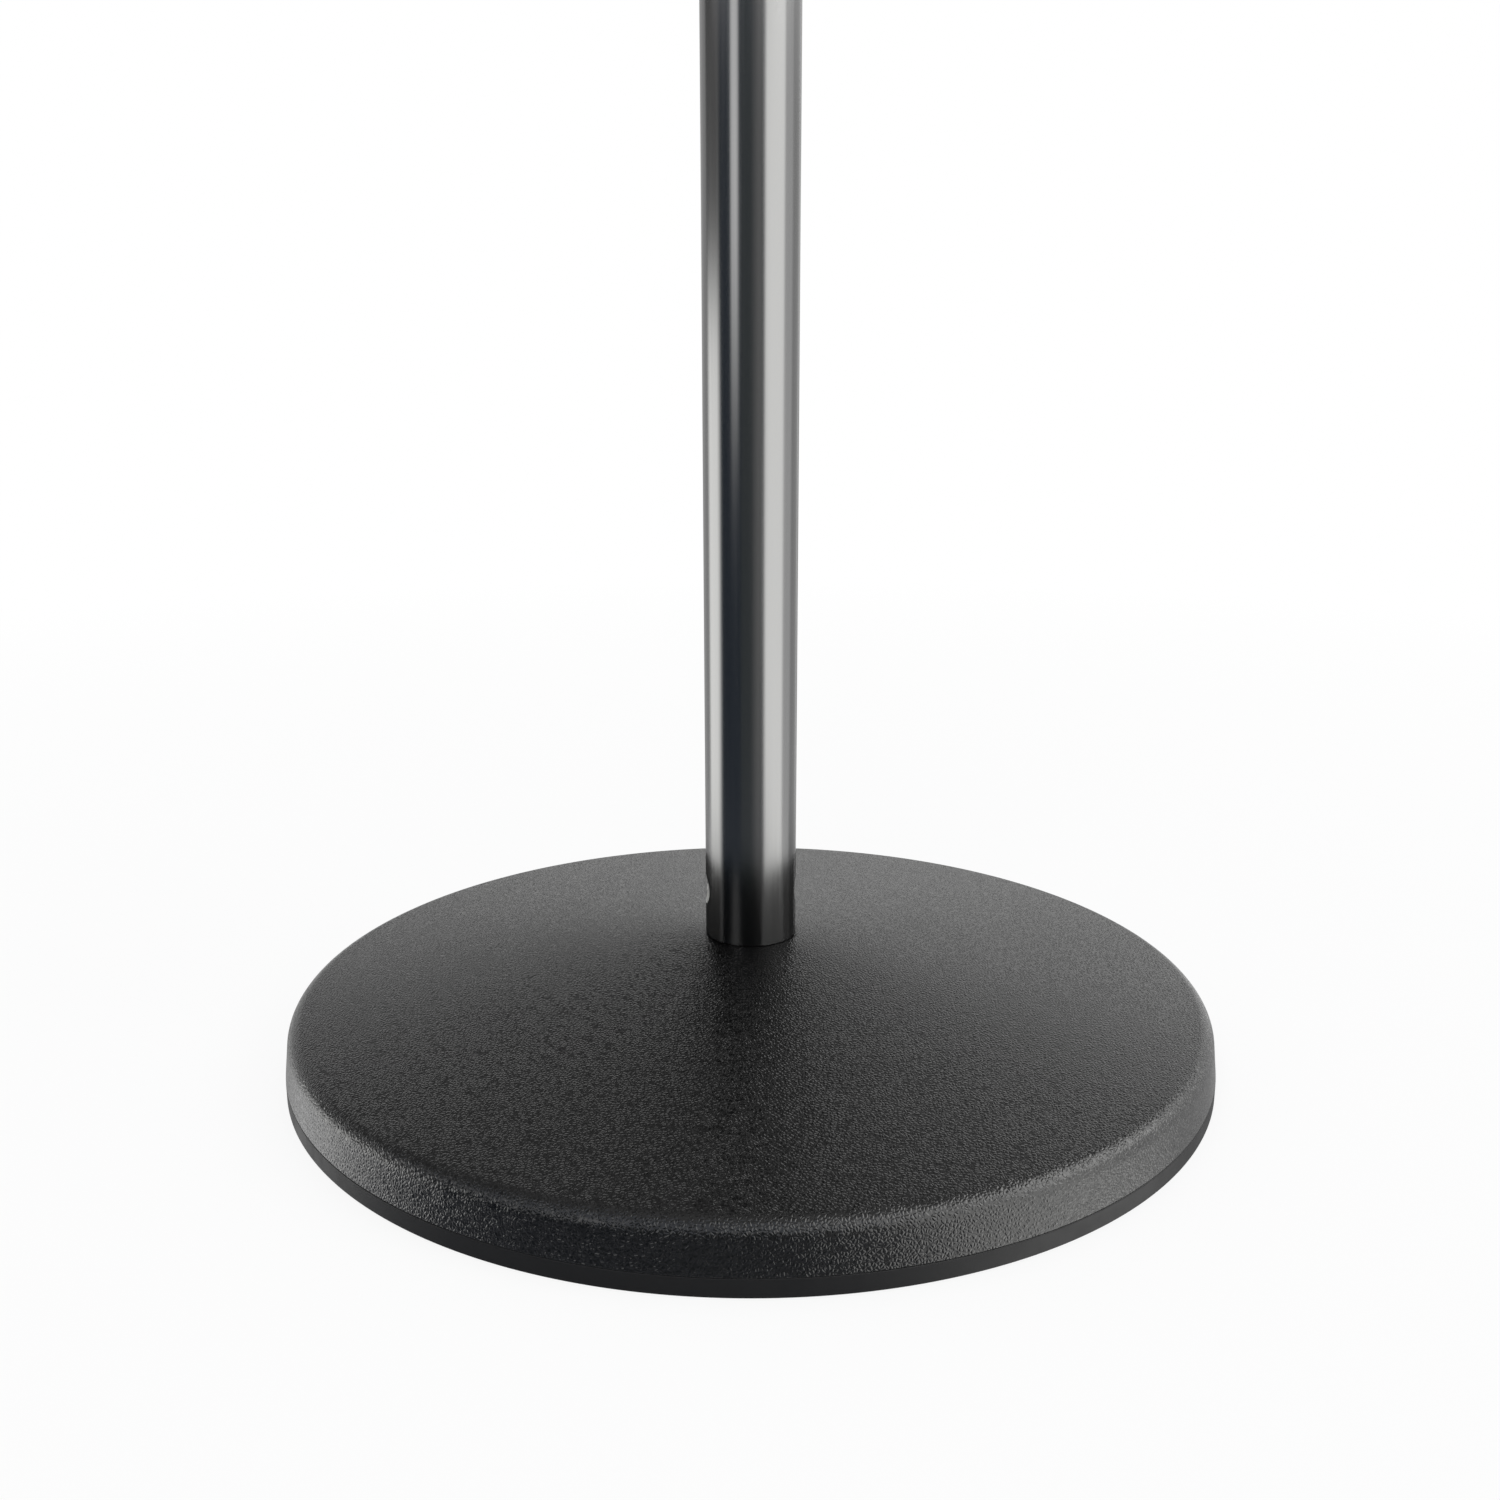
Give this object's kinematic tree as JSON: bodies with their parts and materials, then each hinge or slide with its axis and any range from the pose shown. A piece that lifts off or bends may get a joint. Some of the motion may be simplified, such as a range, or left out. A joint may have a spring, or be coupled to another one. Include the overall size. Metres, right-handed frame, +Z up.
{
  "type": "microphone stand",
  "caption": "Floor microphone stand: low conical cast base on a rubber ring, plated telescopic tube with a twist clutch, and a threaded stud for a microphone clip.",
  "frame": {"origin": "centre of the round base on the floor", "axes": "+Z up along the tubes' axis; -Y towards the picture's camera; the bar hole runs 5 degrees from X"},
  "size_m": [0.254, 0.254, 0.9882],
  "materials": {
    "base_coat": "pebbled black powder coat on cast iron",
    "foot_rubber": "smooth matt rubber",
    "tube_plating": "dark bright-plated drawn steel tube",
    "plain_steel": "turned, zinc plated",
    "bush_plastic": "moulded natural acetal",
    "spring_steel": "blackened spring steel",
    "nut_brass": "turned",
    "grip_plastic": "fine matt moulded plastic",
    "bumper_rubber": "moulded rubber",
    "head_plating": "bright plated, turned"
  },
  "bodies": {
    "stand": {"base_casting": "base_coat", "rubber_foot_ring": "foot_rubber", "foot_plug": "plain_steel", "lower_tube": "tube_plating", "clutch_body": "plain_steel", "guide_bush": "bush_plastic", "collet": "bush_plastic", "retaining_ring": "spring_steel"},
    "clutch_carrier": {"thrust_ring": "bush_plastic"},
    "clutch_grip": {"grip_nut": "nut_brass", "grip_sleeve": "grip_plastic", "grip_cap": "grip_plastic"},
    "slide_carriage": {"slide_bush": "bush_plastic"},
    "upper_mast": {"upper_tube": "tube_plating", "end_plug": "plain_steel", "bush_retainer": "spring_steel", "rubber_bumper": "bumper_rubber", "head_plug": "head_plating", "thread_stud": "plain_steel", "spring_pin": "spring_steel"}
  },
  "joints": [
    {"name": "height_slide", "type": "slide", "parent": "stand", "child": "slide_carriage", "axis": [0, 0, 1], "range_m": [-0.1195, 0.538]},
    {"name": "mast_swivel", "type": "hinge", "parent": "slide_carriage", "child": "upper_mast", "pos_m": [0, 0, 0.2113], "axis": [0, 0, 1], "continuous": true},
    {"name": "clutch_lift", "type": "slide", "parent": "stand", "child": "clutch_carrier", "axis": [0, 0, 1], "range_m": [0, 0.0012]},
    {"name": "clutch_turn", "type": "hinge", "parent": "clutch_carrier", "child": "clutch_grip", "pos_m": [0, 0, 0.8272], "axis": [0, 0, 1], "range_deg": [0, 270]}
  ],
  "couplings": [
    {"joint": "clutch_lift", "follows": "clutch_turn", "m_per_rad": 0.00023873}
  ]
}
